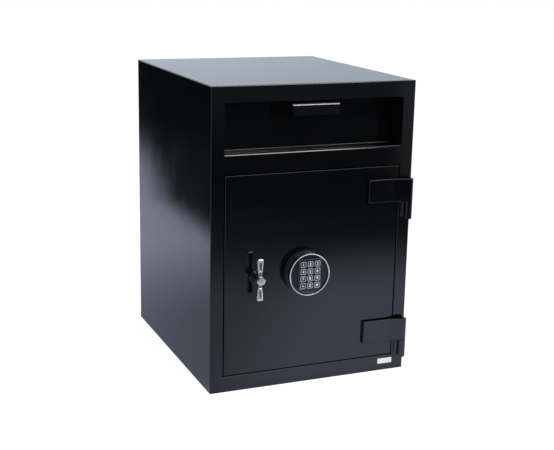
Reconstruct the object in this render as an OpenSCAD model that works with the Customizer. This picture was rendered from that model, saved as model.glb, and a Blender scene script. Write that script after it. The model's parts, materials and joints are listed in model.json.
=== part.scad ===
// Depository safe: welded steel body, tilting deposit hopper in a recess at the
// top, hinged door with three round bolts, a turning T-handle and a round keypad.
// Origin: centre of the footprint on the floor. +Z is up, the front faces -Y.

/* [Body] */
// Width of the steel body
body_w = 432; // [380:1:500]
// Depth of the body from front face to back
body_d = 500; // [440:1:600]
// Height of the body
body_h = 610; // [540:1:700]
// Thickness of the side, top, bottom and back plates
wall_t = 6; // [4:0.5:7]
// Radius on the body's outer edges, except the square ones on the floor
edge_r = 2; // [1:0.5:4]
// Thickness of the front frame plate
frame_t = 12; // [11:0.5:15]
// Width of the frame at each side of the openings
stile_w = 27; // [26:0.5:36]
// Chamfer on the front edges of the door and the openings
edge_cham = 1; // [0.4:0.1:1.6]
// Radius on the front edge of the recess sill
sill_r = 6; // [2:0.5:9]
// Distance between floor anchor holes, side to side
anchor_pitch_x = 300; // [200:5:340]
// Distance between floor anchor holes, front to back
anchor_pitch_y = 360; // [200:5:400]
// Diameter of a floor anchor hole
anchor_d = 12; // [8:0.5:16]

/* [Openings] */
// Height of the frame below the door
bottom_rail_h = 32; // [26:1:40]
// Height of the rail between the door and the recess
mid_rail_h = 40.5; // [36:0.5:46]
// Height of the deposit opening
deposit_open_h = 96; // [92:0.5:100]
// Height of the frame above the deposit opening
top_rail_h = 33; // [28:0.5:40]

/* [Hopper] */
// Hopper pivot behind the front face
pivot_back = 48; // [46:0.5:54]
// Hopper pivot below the top of the recess sill
pivot_down = 4.5; // [3.5:0.25:6]
// Angle that the hopper panel leans back when it is shut, degrees
panel_lean = 10; // [6:1:12]
// Angle that the tray falls to the rear when the hopper is shut, degrees
tray_fall = 20; // [14:1:24]
// Angle through which the hopper tilts forward, degrees
hopper_travel = 60; // [45:1:64]
// Thickness of the hopper's sheet
sheet_t = 3; // [2:0.5:4]
// Radius from the pivot to the tray's rear edge
tray_r = 98; // [90:1:100]
// Radius of the rolled hem along the hopper's foot
hem_r = 5.5; // [4.5:0.25:6]
// Gap between hopper and recess at each side
hopper_side_gap = 2.5; // [1.5:0.5:4]
// Diameter of the hopper's pivot pins
pivot_pin_d = 8; // [6:0.5:9]
// Width of the pull lip
lip_w = 99; // [80:1:130]
// Height of the pull lip's front flange
lip_drop = 24; // [18:1:30]
// Pull lip's front face behind the front face of the body
lip_set_back = 1.5; // [1:0.5:8]
// Gap between the pull lip and the top of the deposit opening
lip_gap = 5.5; // [4:0.5:10]
// Clear gap between the tray's rear edge and the curved baffle
baffle_gap = 6; // [4:0.5:7]
// Thickness of the recess side plates
recess_t = 4; // [3:0.5:5]
// Pitch of the saw teeth along the baffle
tooth_pitch = 18; // [14:1:26]
// Length of a saw tooth
tooth_h = 14; // [8:1:18]
// Diameter of a rubber buffer
buffer_d = 10; // [8:0.5:12]

/* [Door] */
// Gap all round the door in its opening
door_gap = 2; // [1.5:0.25:3]
// Space between the door's back and its stops
stop_gap = 0.4; // [0.3:0.1:1]
// Radius on the door plate's corners
door_corner_r = 2; // [1:0.5:4]
// Width of the door stops behind the frame
stop_w = 26; // [20:1:30]
// Depth of the inner cover behind the door plate
cover_depth = 40; // [39:1:48]
// Thickness of the inner cover's sheet
cover_t = 2; // [1.5:0.5:3]

/* [Hinges] */
// Hinge axis from the body's side
hinge_inset = 9; // [8.5:0.5:10]
// Radius of a hinge knuckle
knuckle_r = 8; // [7:0.25:8.25]
// Thickness of a hinge strap
strap_t = 8; // [6:0.5:8]
// Height of a hinge strap
strap_h = 47; // [36:1:60]
// Length of the strap left of the hinge axis
strap_l = 90; // [70:0.5:120]
// Start of the strap's swelling, in from the door's right edge
strap_swell = 12; // [6:0.5:24]
// Chamfer along the strap's upper and lower edges
strap_cham = 1.2; // [0.5:0.1:2]
// Lower strap above the door's lower edge
lower_strap_in = 33; // [12:1:60]
// Upper strap below the door's upper edge
upper_strap_in = 25.5; // [12:0.5:60]
// Height of the fixed block under each strap
block_h = 37; // [24:1:40]
// Leg of the weld beside each fixed block
weld_leg = 4; // [2:0.5:5]
// Diameter of a hinge pin
hinge_pin_d = 8; // [6:0.5:9]

/* [Handle] */
// Handle axis from the door's left edge
handle_in = 63; // [58:1:70]
// Handle and lock axis below the door's middle
lock_below = 1; // [-10:0.5:10]
// Overall length of the T-handle
handle_l = 84.5; // [72:0.5:100]
// Arms' centre line in front of the door
arm_out = 26.5; // [20:0.5:30]
// Hub's end in front of the door
hub_out = 36.5; // [34:0.5:46]
// Diameter of the handle's hub
hub_d = 17.5; // [15:0.5:20]
// Width of an arm at its tip
arm_tip_w = 13.5; // [11:0.5:18]
// Width of an arm's grip near the hub
arm_root_w = 10; // [8:0.5:12]
// Thickness of an arm
arm_t = 9; // [8:0.5:11]
// Diameter of the fixed collar on the door
collar_d = 26; // [22:0.5:34]
// Length of the fixed collar
collar_l = 5; // [3:0.5:10]
// Diameter of the handle shaft
shaft_d = 12; // [10:0.5:12]
// Radius of the crank that drives the bolts
crank_r = 18; // [14:0.5:18]
// Diameter of the crank's drive pin
drive_pin_d = 8; // [6:0.5:8]

/* [Boltwork] */
// Diameter of a locking bolt
bolt_d = 20; // [16:0.5:21]
// Outer bolts' distance from the door's upper and lower edges
bolt_in = 82.25; // [76:0.25:110]
// Radial clearance of a turning or sliding fit
fit_c = 0.06; // [0.03:0.01:0.09]
// Thickness of the tie bar
tie_t = 4; // [3:0.5:4.5]

/* [Keypad] */
// Keypad centre right of the handle axis
keypad_right = 107; // [100:1:116]
// Diameter of the keypad
keypad_d = 90; // [88:1:96]
// Front of the keypad in front of the door
keypad_out = 25; // [22:1:40]
// Width of a key
key_w = 11.5; // [9:0.5:12.5]
// Distance between key columns
key_pitch_x = 15.2; // [14.2:0.1:16]
// Distance between key rows
key_pitch_z = 14.7; // [13.7:0.1:15.2]
// Travel of a key
key_travel = 0.8; // [0.4:0.1:1.2]

/* [Hidden] */
$fn = 64;

// A small cutting overlap, used only on tools that pass through a face
cut = 1;

// Body planes
side_x = body_w / 2;
front_y = -body_d / 2;
back_y = body_d / 2;
frame_y = front_y + frame_t;
open_x = side_x - stile_w;
opening_w = 2 * open_x;
recess_top_z = body_h - top_rail_h;
sill_z = recess_top_z - deposit_open_h;
door_z0 = bottom_rail_h;
door_z1 = sill_z - mid_rail_h;

// Hopper: a side view in (y, z) about its pivot
pivot_y = front_y + pivot_back;
pivot_z = sill_z - pivot_down;
hopper_x = open_x - hopper_side_gap;
panel_x = hopper_x - sheet_t;
lip_top = deposit_open_h + pivot_down - lip_gap;
lip_front = -pivot_back + lip_set_back;
baffle_r = tray_r + baffle_gap;
drop_angle = 18;
tray_u = [cos(tray_fall), -sin(tray_fall)];
tray_n = [sin(tray_fall), cos(tray_fall)];
tray_top = -1;
tray_low = tray_top - sheet_t;
soft_gap = 0.3;
hem_wall = 2;
hem_top = hem_r - 0.75 * hem_wall;
lip_inner_r = 3;
lip_bend = sheet_t + lip_inner_r;
cheek_rim = 24;
cheek_slope = 31;

// Buffers: the shut hopper's cheeks rest on two, the open tray's rear edge meets two
buffer_bite = 5;
buffer_in = 38;
buffer_seat = sqrt(pow(baffle_r, 2) - pow(buffer_d / 2, 2)) - 0.02;
stop_angle = hopper_travel - tray_fall
    + asin((buffer_d / 2 + soft_gap + tray_top) / (tray_r - 2));
rest_reach = 60;
rest_drop = tray_low - soft_gap - buffer_d / 2;
rest_y = pivot_y + rest_reach * tray_u[0] + rest_drop * tray_n[0];
rest_z = pivot_z + rest_reach * tray_u[1] + rest_drop * tray_n[1];

// Recess plates and floor
recess_back = pivot_y + baffle_r + sheet_t;
recess_low = rest_z - buffer_d;
recess_high = pivot_z + baffle_r + 2 * sheet_t;
heel_back = 30;
recess_heel = pivot_y + heel_back;
// The floor ends where the open hopper's panel still clears its rear edge
fold = hopper_travel - panel_lean;
floor_gap = 0.7;
floor_end = pivot_y - (sheet_t + floor_gap + pivot_down * sin(fold)) / cos(fold);
floor_t = 6;
floor_apron = 20;
pin_out = 2;
tooth_count = floor((opening_w - tooth_pitch) / tooth_pitch);
tooth_x0 = -(tooth_count - 1) * tooth_pitch / 2;
tooth_z = pivot_z + baffle_r * sin(drop_angle / 2);

// Door planes, back to front
door_t = frame_t - stop_gap;
door_x = open_x - door_gap;
door_low = door_z0 + door_gap;
door_high = door_z1 - door_gap;
door_back = front_y + door_t;
cover_y = door_back + cover_depth;
cover_edge = 26;
cover_z0 = door_low + cover_edge;
cover_z1 = door_high - cover_edge;
cover_x1 = door_x - cover_edge - 1;
stop_inset = 40;
stop_lap = 8;
cable_d = 10;

// Hinges
hinge_x = side_x - hinge_inset;
stile_clear = 1;
hinge_y = front_y - knuckle_r - stile_clear;
pin_seat = 4;
knuckle_cap = 5;
strap_bevel = 1.5;
block_r = 4;
lower_strap_z = door_low + lower_strap_in;
upper_strap_z = door_high - upper_strap_in - strap_h;
// In plan, from the hinge axis: where the strap leaves the door and where it starts
// to swell, at an angle that leaves it tangent to the knuckle
root_in = 4;
root_x = door_x - hinge_x - root_in;
swell_x = door_x - hinge_x - strap_swell;
swell_y = knuckle_r + stile_clear - strap_t;
web_angle = 40;
swell_angle = asin(knuckle_r / norm([swell_x, swell_y])) + atan2(swell_y, -swell_x);

// Fixed bar on the door, which passes round the stile as the door swings
dead_gap = 1.2;
dead_y = hinge_y + norm([hinge_x - open_x, frame_y - hinge_y]) + dead_gap;
dead_l = 220;
dead_t = 10;
dead_w = 17;
dead_in = 5;
dead_x1 = door_x - dead_in;
dead_x0 = dead_x1 - dead_w;
dead_tip = hinge_x - 7;

// Boltwork: layers behind the door, measured in y
handle_x = handle_in - door_x;
lock_z = (door_low + door_high) / 2 - lock_below;
bolt_pitch = (door_high - door_low) / 2 - bolt_in;
bolt_y = frame_y + 2 + bolt_d / 2;
bolt_throw = 2 * crank_r * sin(45);
crank_drop = crank_r * sin(45);
bar_t = 6;
bar_w = bolt_d + 4;
bar_y0 = bolt_y - bar_w / 2;
bar_y1 = bolt_y + bar_w / 2;
bar_over = 18;
bar_left = 14;
bar_x1 = handle_x - bar_left;
bar_x0 = bar_x1 - bar_t;
guide_t = 4;
guide_x0 = -door_x + 5;
bolt_tip = guide_x0 + 0.5;
tie_y0 = bar_y1;
tie_y1 = tie_y0 + tie_t;
crank_t = 6;
crank_hub_r = 10;
crank_eye_r = drive_pin_d / 2 + 3;
bush_wall = 4;
bolt_cham = 1.5;
crank_y1 = tie_y0 - 2;
crank_y0 = crank_y1 - crank_t;
tie_w = 24;
tie_z0 = lock_z + 7.5;
tie_z1 = tie_z0 + tie_w;
slot_x = handle_x + crank_drop;
slot_half = drive_pin_d / 2 + 0.85;
slot_z0 = lock_z + crank_drop - drive_pin_d / 2 - 0.6;
slot_z1 = lock_z + crank_r + drive_pin_d / 2 + 0.6;
stud_d = 8;
stud_right = 55;
stud_x = handle_x + stud_right;
stud_z = (tie_z0 + tie_z1) / 2;
stud_slot = stud_d / 2 + 0.3;
stud_flange_d = stud_d + 6;
stud_head_t = 2.5;
tie_end = 20;
tie_toe = 4;
post_d = 10;
post_in = 30;
post_x = [handle_x + post_in, cover_x1 - post_in];
post_z = [cover_z0 + post_in, cover_z1 - post_in];
screw_head_r = 6;
screw_head_h = 3.2;
screw_dome_r = (pow(screw_head_r, 2) + pow(screw_head_h, 2)) / (2 * screw_head_h) + 1;
screw_hex_d = 4.6;
screw_hex_depth = 1.8;

// Lock: a case whose swing bolt turns with the boltwork
keypad_x = handle_x + keypad_right;
swing_r = bolt_throw / (PI / 2);
swing_bite = 8;
swing_x = keypad_x - 4;
swing_z = tie_z0 - swing_r + swing_bite;
swing_t = tie_t + 4;
swing_y0 = (tie_y0 + tie_y1 - swing_t) / 2;
swing_tooth = 9;
swing_hub_r = 7;
swing_pin_d = 6;
case_top = tie_z0 - 1.2;
case_h = 89;
case_y1 = swing_y0 + swing_t + 2;
notch_x = swing_x + bolt_throw;
notch_w = swing_tooth / 2 + 0.6;
notch_flare = 8;
notch_lean = 3;
case_left = 26;
case_right = 36;
case_x0 = swing_x - case_left;
case_x1 = swing_x + case_right;

// Keypad layers, in front of the door face
ring_w = 5.5;
ring_deep = 7;
base_t = 2;
panel_w = 48.4;
panel_up = 32;
face_d = keypad_d - 2 * ring_w;
face_out = keypad_out - 3;
face_t = 3;
panel_t = 3;
key_gap = 0.35;
key_proud = 2.2;
key_front = front_y - face_out - panel_t - key_proud;
ring_back = keypad_out - ring_deep;
face_back = face_out - face_t;
flange_t = 1.2;
flange_w = 1;
key_r = 2;
slip = 0.1;
housing_wall = 3;
housing_over = 0.5;
base_in = 1.5;
panel_in = 2;
board_t = 1.6;
board_out = face_back - slip - flange_t - key_travel - soft_gap - board_t;
collar_cham = 1.5;
hub_back = collar_l + 0.4;
hub_len = hub_out - hub_back;
hub_neck_r = shaft_d / 2 + 1;
hub_flare = 9;

// Handle's arms, from the hub's axis
arm_r = 3;
neck_w = 9;
neck_t = 7.5;
neck_end = 15;
scoop_r = 3.6;
scoop_deep = 1;
scoop_end = 6;

steel_black = [0.09, 0.10, 0.115];
plain_steel = [0.62, 0.63, 0.64];
chrome_grey = [0.80, 0.81, 0.82];
black_plastic = [0.06, 0.06, 0.065];
black_key = [0.10, 0.10, 0.11];
dark_rubber = [0.12, 0.12, 0.12];

// General helpers

// A box between two opposite corners
module between(a, b) {
    translate(a) cube(b - a);
}

// A 2D rectangle between two corners, with round corners
module round_rect(a, b, r) {
    for (x = [a[0] + r, b[0] - r], y = [a[1] + r, b[1] - r])
        translate([x, y]) circle(r);
    translate([a[0] + r, a[1]]) square([b[0] - a[0] - 2 * r, b[1] - a[1]]);
    translate([a[0], a[1] + r]) square([b[0] - a[0], b[1] - a[1] - 2 * r]);
}

// Carries a drawing in (x, z) along +y from y0 over a length
module along_y(y0, len) {
    translate([0, y0 + len, 0]) rotate([90, 0, 0]) linear_extrude(len) children();
}

// Carries a drawing in (y, z) along +x from x0 over a length
module along_x(x0, len) {
    translate([x0, 0, 0]) rotate([90, 0, 90]) linear_extrude(len) children();
}

// A round bar along y between two planes
module rod_y(x, z, y0, y1, d) {
    translate([x, y1, z]) rotate([90, 0, 0]) cylinder(d = d, h = y1 - y0);
}

// A round bar along x between two planes
module rod_x(y, z, x0, x1, d) {
    translate([x0, y, z]) rotate([0, 90, 0]) cylinder(d = d, h = x1 - x0);
}

// Corners of a block's side view in (y, height), with chamfers c at its front face a[0].
// The other sides stand a little off, because the block itself ends there.
function bevelled(a, b, c) = [[a[0], a[1] + c], [a[0] + c + cut, a[1] - cut],
    [b[0] + cut, a[1] - cut], [b[0] + cut, b[1] + cut],
    [a[0] + c + cut, b[1] + cut], [a[0], b[1] - c]];

// Corners of an opening's side view in (y, height), with chamfers c at the front face a[0]
function flared(a, b, c) = [[a[0] - cut, a[1] - c - cut], [a[0] + c, a[1]],
    [b[0] + cut, a[1]], [b[0] + cut, b[1]], [a[0] + c, b[1]], [a[0] - cut, b[1] + c + cut]];

// The same corners in (x, y), for a plan
function in_plan(points) = [for (p = points) [p[1], p[0]]];

// Puts the children at the left and at the mirrored right
module both_sides() {
    children();
    mirror([1, 0, 0]) children();
}

// The body's outer form, with round edges above the floor
module body_form() {
    intersection() {
        linear_extrude(body_h)
            round_rect([-side_x, front_y], [side_x, back_y], edge_r);
        along_y(front_y, body_d) round_rect([-side_x, -body_h], [side_x, body_h], edge_r);
        along_x(-side_x, body_w) round_rect([front_y, -body_h], [back_y, body_h], edge_r);
    }
}

// A plate cut from the body's outer form
module body_plate(a, b) {
    intersection() {
        body_form();
        between(a, b);
    }
}

// Welded body

module body_top() color(steel_black)
    body_plate([wall_t - side_x, frame_y, body_h - wall_t], [side_x - wall_t, back_y, body_h]);

module body_bottom() color(steel_black)
    difference() {
        body_plate([wall_t - side_x, frame_y, 0], [side_x - wall_t, back_y, wall_t]);
        for (x = [-1, 1], y = [-1, 1])
            translate([x * anchor_pitch_x / 2, y * anchor_pitch_y / 2, -cut])
                cylinder(d = anchor_d, h = wall_t + 2 * cut);
    }

module body_left() color(steel_black)
    body_plate([-side_x, frame_y, 0], [wall_t - side_x, back_y, body_h]);

module body_right() color(steel_black)
    body_plate([side_x - wall_t, frame_y, 0], [side_x, back_y, body_h]);

module body_back() color(steel_black)
    body_plate([wall_t - side_x, back_y - wall_t, wall_t],
        [side_x - wall_t, back_y, body_h - wall_t]);

module front_frame() color(steel_black)
    difference() {
        body_plate([-side_x, front_y, 0], [side_x, frame_y, body_h]);
        frame_opening(door_z0, door_z1);
        frame_opening(sill_z, recess_top_z);
        sill_round();
    }

// What is cut from the frame for an opening with chamfered front edges
module frame_opening(z0, z1) {
    intersection() {
        along_x(-side_x, body_w)
            polygon(flared([front_y, z0], [frame_y, z1], edge_cham));
        translate([0, 0, z0 - wall_t]) linear_extrude(z1 - z0 + 2 * wall_t)
            polygon(in_plan(flared([front_y, -open_x], [frame_y, open_x], edge_cham)));
    }
}

// What is cut from the sill's front edge to leave it round
module sill_round() {
    along_x(-open_x, opening_w)
        difference() {
            translate([front_y - cut, sill_z - sill_r]) square([sill_r + cut, sill_r + cut]);
            translate([front_y + sill_r, sill_z - sill_r]) circle(sill_r);
        }
}

// Recess and throat

module recess_left() color(steel_black)
    difference() {
        along_x(-open_x - recess_t, recess_t)
            polygon([[frame_y, sill_z - floor_t], [recess_heel, recess_low],
                [recess_back, recess_low], [recess_back, recess_high],
                [frame_y, recess_high]]);
        rod_x(pivot_y, pivot_z, -open_x - recess_t - cut, -open_x + cut,
            pivot_pin_d + 2 * fit_c);
    }

module recess_right() mirror([1, 0, 0]) recess_left();

// Floor of the recess, with its rear edge turned down
module recess_floor() color(steel_black)
    along_x(-open_x, opening_w)
        polygon([[frame_y, sill_z - floor_t], [floor_end - sheet_t, sill_z - floor_t],
            [floor_end - sheet_t, sill_z - floor_t - floor_apron],
            [floor_end, sill_z - floor_t - floor_apron],
            [floor_end, sill_z], [frame_y, sill_z]]);

// Ceiling of the recess and the curved guard behind the hopper, sawn along its edge
module throat_baffle() color(steel_black)
    difference() {
        along_x(-open_x, opening_w) {
            translate([frame_y, pivot_z + baffle_r])
                square([pivot_y - frame_y, sheet_t]);
            translate([pivot_y, pivot_z])
                intersection() {
                    difference() {
                        circle(baffle_r + sheet_t, $fn = 128);
                        circle(baffle_r, $fn = 128);
                    }
                    polygon(2 * baffle_r * [[0, 0], [cos(drop_angle / 2), sin(drop_angle / 2)],
                        [1, 1], [0, 1]]);
                }
        }
        for (i = [0 : tooth_count - 1])
            along_y(pivot_y + baffle_r / 2, baffle_r)
                translate([tooth_x0 + i * tooth_pitch, tooth_z])
                    polygon([[-tooth_pitch / 2, -tooth_h / 2], [0, tooth_h],
                        [tooth_pitch / 2, -tooth_h / 2]]);
    }

// Rubber buffers under the cheeks, where the shut hopper rests
module rest_buffers() color(dark_rubber)
    both_sides()
        rod_x(rest_y, rest_z, -open_x, -panel_x - 0.5, buffer_d);

// Rubber buffers inside the guard, which stop the open hopper
module open_buffers() color(dark_rubber)
    both_sides()
        translate([buffer_in - open_x, pivot_y, pivot_z]) rotate([stop_angle, 0, 0])
            translate([0, tray_r - buffer_bite, 0]) rotate([-90, 0, 0])
                cylinder(d = buffer_d, h = buffer_seat - tray_r + buffer_bite);

// Hinges

// Fixed block with round lower corners and a weld along its left side
module hinge_block(z0) {
    difference() {
        union() {
            intersection() {
                block_form(z0);
                along_y(hinge_y - knuckle_r - cut, front_y - hinge_y + knuckle_r + 2 * cut)
                    round_rect([hinge_x - knuckle_r, z0],
                        [hinge_x + knuckle_r, z0 + 2 * block_h], block_r);
            }
            translate([hinge_x - knuckle_r, front_y, z0 + block_r])
                linear_extrude(block_h - block_r - weld_leg / 2)
                    polygon([[weld_leg, 0], [-weld_leg, 0], [0, -weld_leg],
                        [weld_leg, -weld_leg]]);
        }
        translate([hinge_x, hinge_y, z0 + pin_seat]) cylinder(d = hinge_pin_d, h = block_h);
    }
}

module block_form(z0) {
    translate([hinge_x, hinge_y, z0]) cylinder(r = knuckle_r, h = block_h);
    between([hinge_x - knuckle_r, hinge_y, z0], [hinge_x + knuckle_r, front_y, z0 + block_h]);
}

module upper_hinge_block() color(steel_black)
    hinge_block(upper_strap_z - soft_gap - block_h);

module lower_hinge_block() color(steel_black)
    hinge_block(lower_strap_z - soft_gap - block_h);

module hinge_pins() color(plain_steel)
    for (z = [upper_strap_z, lower_strap_z])
        translate([hinge_x, hinge_y, z - soft_gap - block_h + pin_seat])
            cylinder(d = hinge_pin_d,
                h = block_h - pin_seat + soft_gap + strap_h - knuckle_cap - 1);

// Strap with its knuckle: a flat run on the door that swells to the knuckle
module hinge_strap(z0) {
    difference() {
        translate([hinge_x, 0, z0]) {
            strap_run();
            strap_swelling();
            translate([0, hinge_y, 0]) knuckle();
        }
        translate([hinge_x, hinge_y, z0 - cut])
            cylinder(d = hinge_pin_d + 2 * fit_c, h = cut + strap_h - knuckle_cap);
    }
}

// Flat run on the door, drawn from the hinge axis
module strap_run() {
    intersection() {
        linear_extrude(strap_h)
            polygon([[-strap_l, front_y], [-strap_l, front_y - strap_t + strap_bevel],
                [strap_bevel - strap_l, front_y - strap_t], [root_x, front_y - strap_t],
                [root_x, front_y]]);
        along_x(-strap_l - cut, strap_l + cut)
            polygon(bevelled([front_y - strap_t, 0], [front_y, strap_h], strap_cham));
    }
}

// Wedge between the run and the knuckle, with its chamfers along the slanted front
module strap_swelling() {
    intersection() {
        linear_extrude(strap_h)
            polygon([[swell_x, front_y], [swell_x, front_y - strap_t],
                [-knuckle_r * sin(swell_angle), hinge_y - knuckle_r * cos(swell_angle)],
                [0, hinge_y], [-knuckle_r * cos(web_angle), front_y - stile_clear],
                [root_x, front_y - stile_clear], [root_x, front_y]]);
        translate([swell_x, front_y - strap_t, 0]) rotate([0, 0, -swell_angle])
            along_x(-strap_t, strap_l)
                polygon(bevelled([0, 0], [strap_t + 2 * knuckle_r, strap_h], strap_cham));
    }
}

// Round barrel at the strap's end
module knuckle()
    rotate_extrude()
        polygon([[0, 0], [knuckle_r - strap_cham, 0], [knuckle_r, strap_cham],
            [knuckle_r, strap_h - strap_cham], [knuckle_r - strap_cham, strap_h],
            [0, strap_h]]);

module upper_strap() color(steel_black) hinge_strap(upper_strap_z);
module lower_strap() color(steel_black) hinge_strap(lower_strap_z);

// Steel strips behind the rails that the door closes against
module door_stop(z0) {
    between([stop_inset - open_x, frame_y, z0],
        [open_x - stop_inset, frame_y + sheet_t, z0 + stop_w]);
}

module door_stop_top() color(steel_black) door_stop(door_high - stop_lap);
module door_stop_bottom() color(steel_black) door_stop(door_low + stop_lap - stop_w);

// Hopper, drawn in (y, z) about its pivot

// Distance of the panel's front face from the pivot's plane, at a height
function panel_face(v) = -sheet_t / cos(panel_lean) + v * tan(panel_lean);

module about_pivot(x0, len) {
    translate([0, pivot_y, pivot_z]) along_x(x0, len) children();
}

// Front panel, with its foot rolled into a hem round the pivot
module hopper_panel() color(steel_black) {
    about_pivot(-panel_x, 2 * panel_x)
        polygon([[hem_top * tan(panel_lean), hem_top], [panel_face(hem_top), hem_top],
            [panel_face(lip_top), lip_top], [lip_top * tan(panel_lean), lip_top]]);
    difference() {
        rod_x(pivot_y, pivot_z, -panel_x, panel_x, 2 * hem_r);
        rod_x(pivot_y, pivot_z, -panel_x - cut, panel_x + cut, 2 * (hem_r - hem_wall));
    }
}

// Pull: a flange forward from the panel's top edge, bent down at its front
module pull_lip() color(steel_black)
    about_pivot(-lip_w / 2, lip_w) {
        polygon([[lip_front + lip_bend, lip_top], [lip_front + lip_bend, lip_top - sheet_t],
            [panel_face(lip_top - sheet_t), lip_top - sheet_t],
            [panel_face(lip_top), lip_top]]);
        translate([lip_front, lip_top - lip_drop]) square([sheet_t, lip_drop - lip_bend]);
        translate([lip_front + lip_bend, lip_top - lip_bend])
            intersection() {
                difference() {
                    circle(lip_bend);
                    circle(lip_bend - sheet_t);
                }
                translate([-lip_bend, 0]) square(lip_bend);
            }
    }

// Tray that slopes to the rear when shut, so that what lies on it slides off
module hopper_tray() color(steel_black)
    about_pivot(-panel_x, 2 * panel_x)
        polygon([hem_r * tray_u + tray_top * tray_n, hem_r * tray_u + tray_low * tray_n,
            tray_r * tray_u + tray_low * tray_n, tray_r * tray_u + tray_top * tray_n]);

// Side plates that join panel and tray
module hopper_cheek_left() color(steel_black)
    about_pivot(-hopper_x, sheet_t) {
        circle(hem_r);
        intersection() {
            circle(tray_r, $fn = 128);
            polygon([tray_low * tray_n, [panel_face(0), 0], [panel_face(lip_top), lip_top],
                [panel_face(lip_top) + cheek_rim, lip_top],
                [panel_face(lip_top) + cheek_rim + tray_r,
                    lip_top - tray_r * tan(cheek_slope)],
                2 * tray_r * tray_u + tray_low * tray_n]);
        }
    }

module hopper_cheek_right() mirror([1, 0, 0]) hopper_cheek_left();

module hopper_pins() color(plain_steel)
    both_sides()
        rod_x(pivot_y, pivot_z, -open_x - recess_t - pin_out, -hopper_x, pivot_pin_d);

// Door

// Plate with chamfers round its front face
module door_plate() color(steel_black)
    difference() {
        intersection() {
            along_y(front_y, door_t)
                round_rect([-door_x, door_low], [door_x, door_high], door_corner_r);
            along_x(-door_x - cut, 2 * (door_x + cut))
                polygon(bevelled([front_y, door_low], [door_back, door_high], edge_cham));
            translate([0, 0, door_low - cut]) linear_extrude(door_high - door_low + 2 * cut)
                polygon(in_plan(bevelled([front_y, -door_x], [door_back, door_x], edge_cham)));
        }
        rod_y(handle_x, lock_z, front_y - cut, door_back + cut, shaft_d + 2 * fit_c);
        rod_y(keypad_x, lock_z, front_y - cut, door_back + cut, cable_d);
    }

// Fixed bar that hooks behind the hinge-side stile
module dead_bar() color(plain_steel)
    translate([0, 0, lock_z - dead_l / 2]) linear_extrude(dead_l)
        polygon([[dead_x0, door_back], [dead_x1, door_back], [dead_x1, dead_y],
            [dead_tip, dead_y], [dead_tip, dead_y + dead_t], [dead_x0, dead_y + dead_t]]);

// Upright plate whose three bores guide the bolts
module bolt_guide() color(plain_steel)
    difference() {
        between([guide_x0, door_back, cover_z0 + cover_t],
            [guide_x0 + guide_t, cover_y - cover_t, cover_z1 - cover_t]);
        for (i = [-1 : 1])
            rod_x(bolt_y, lock_z + i * bolt_pitch, guide_x0 - cut, guide_x0 + guide_t + cut,
                bolt_d + 2 * fit_c);
    }

// Shouldered stud that carries the tie bar at its slot
module guide_stud() color(plain_steel) {
    rod_y(stud_x, stud_z, door_back, tie_y0 - soft_gap, stud_flange_d);
    rod_y(stud_x, stud_z, tie_y0 - soft_gap, tie_y1 + soft_gap, stud_d);
    rod_y(stud_x, stud_z, tie_y1 + soft_gap, tie_y1 + soft_gap + stud_head_t, stud_flange_d);
}

module shaft_bushing() color(plain_steel)
    difference() {
        rod_y(handle_x, lock_z, door_back, crank_y0 - soft_gap, shaft_d + 2 * bush_wall);
        rod_y(handle_x, lock_z, door_back - cut, crank_y0 + cut, shaft_d + 2 * fit_c);
    }

// Collar on the door's face that the handle turns in
module handle_collar() color(black_plastic)
    translate([handle_x, front_y, lock_z]) rotate([90, 0, 0]) rotate_extrude($fn = 96)
        polygon([[shaft_d / 2 + fit_c, 0], [collar_d / 2, 0],
            [collar_d / 2, collar_l - collar_cham], [collar_d / 2 - collar_cham, collar_l],
            [shaft_d / 2 + fit_c, collar_l]]);

// Lock, boltwork side

module lock_case() color(plain_steel)
    difference() {
        between([case_x0, door_back, case_top - case_h], [case_x1, case_y1, case_top]);
        rod_y(swing_x, swing_z, swing_y0 - soft_gap, swing_y0 + swing_t + soft_gap,
            2 * (swing_r + 0.6));
    }

module swing_bolt_pin() color(plain_steel)
    rod_y(swing_x, swing_z, swing_y0 - soft_gap, swing_y0 + swing_t + soft_gap, swing_pin_d);

// Swing bolt at rest: its tooth lies along +x inside the case
module swing_bolt() color(plain_steel)
    difference() {
        along_y(swing_y0, swing_t)
            translate([swing_x, swing_z]) {
                circle(swing_hub_r);
                intersection() {
                    circle(swing_r);
                    translate([0, -swing_tooth / 2]) square([swing_r, swing_tooth]);
                }
            }
        rod_y(swing_x, swing_z, swing_y0 - cut, swing_y0 + swing_t + cut,
            swing_pin_d + 2 * fit_c);
    }

module cover_posts() color(plain_steel)
    for (x = post_x, z = post_z)
        rod_y(x, z, door_back, cover_y - cover_t, post_d);

// Pan over the boltwork and lock
module inner_cover() color(steel_black)
    difference() {
        between([guide_x0, door_back, cover_z0], [cover_x1, cover_y, cover_z1]);
        between([guide_x0 - cut, door_back - cut, cover_z0 + cover_t],
            [cover_x1 - cover_t, cover_y - cover_t, cover_z1 - cover_t]);
    }

// Domed screw heads that hold the pan on its posts
module cover_screws() color(plain_steel)
    for (x = post_x, z = post_z)
        translate([x, cover_y, z]) rotate([-90, 0, 0])
            difference() {
                rotate_extrude()
                    intersection() {
                        translate([0, screw_head_h - screw_dome_r]) circle(screw_dome_r);
                        square([screw_head_r, screw_head_h]);
                    }
                translate([0, 0, screw_head_h - screw_hex_depth])
                    cylinder(d = screw_hex_d, h = screw_head_h, $fn = 6);
            }

// Keypad

module on_keypad(out, len, d) {
    rod_y(keypad_x, lock_z, front_y - out - len, front_y - out, d);
}

module keypad_base() color(black_plastic)
    difference() {
        on_keypad(0, base_t, keypad_d - 2 * base_in);
        on_keypad(-cut, base_t + 2 * cut, cable_d);
    }

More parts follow.
